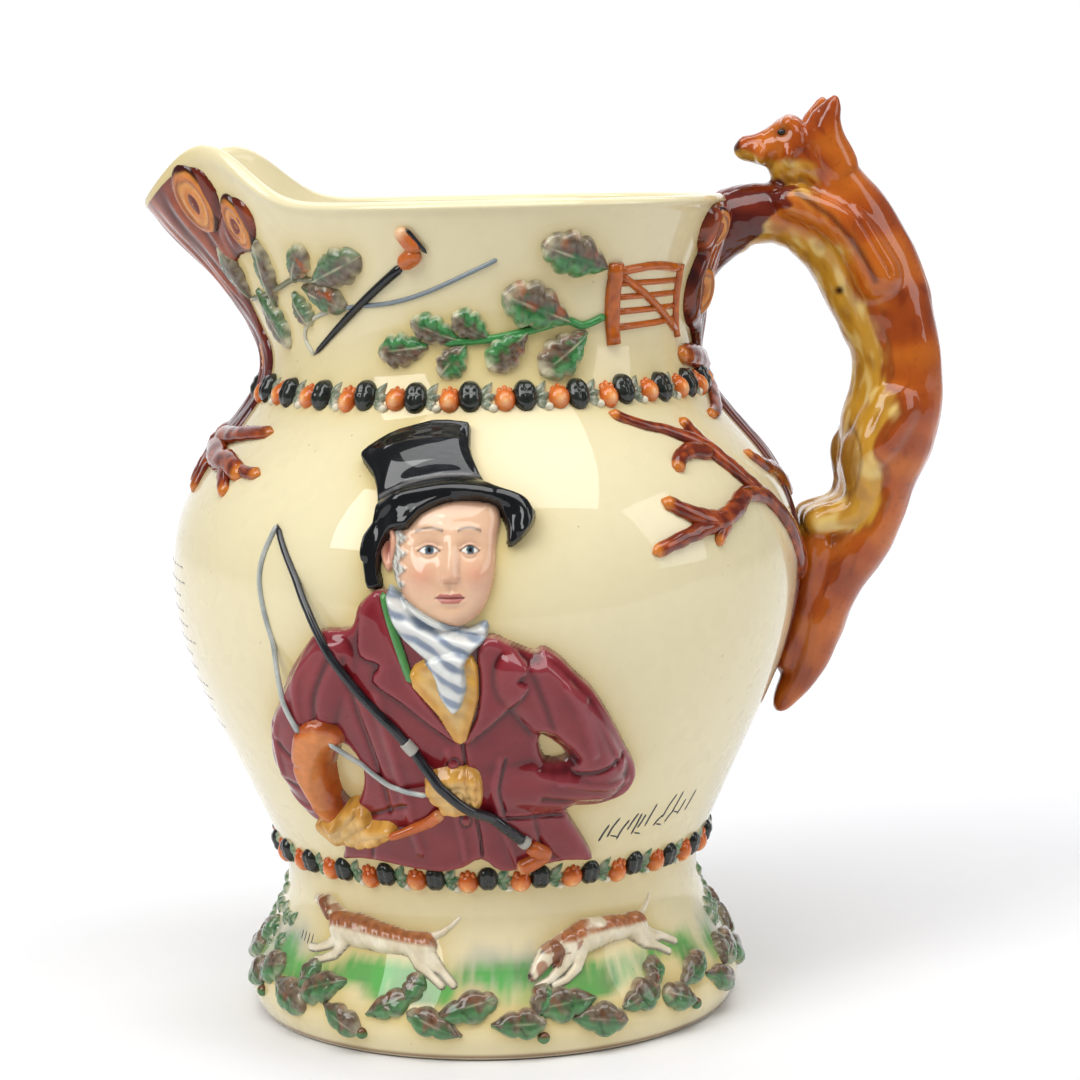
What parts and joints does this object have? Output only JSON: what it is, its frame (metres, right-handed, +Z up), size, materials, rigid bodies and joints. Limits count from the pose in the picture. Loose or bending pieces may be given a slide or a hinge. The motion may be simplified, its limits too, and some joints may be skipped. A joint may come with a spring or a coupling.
{
  "type": "porcelain jug with music box",
  "caption": "Glazed porcelain jug with a pinched spout, relief hunting scene, fox-shaped handle and a wind-up music box closed into its foot.",
  "frame": {"origin": "on the plane the foot ring stands on, under the middle of the whole piece's box; the jug's own axis is 16.7 mm towards the spout and 2.4 mm towards the plain back", "axes": "+Z up along the jug's axis, +X towards the handle, -X towards the spout, -Y out of the face with the huntsman"},
  "size_m": [0.1899, 0.1539, 0.2169],
  "materials": {
    "cream_glaze": "gloss",
    "tinned_steel": "satin",
    "key_brass": "satin",
    "screw_steel": "satin"
  },
  "bodies": {
    "jug_body": {"jug": "cream_glaze", "music_box_cover": "tinned_steel", "cover_screw_1": "screw_steel", "cover_screw_2": "screw_steel", "cover_screw_3": "screw_steel"},
    "key": {"winding_key": "key_brass"}
  },
  "joints": [
    {"name": "key_turn", "type": "hinge", "parent": "jug_body", "child": "key", "pos_m": [-0.0167, 0.0024, 0.006], "axis": [0, 0, 1], "continuous": true}
  ]
}
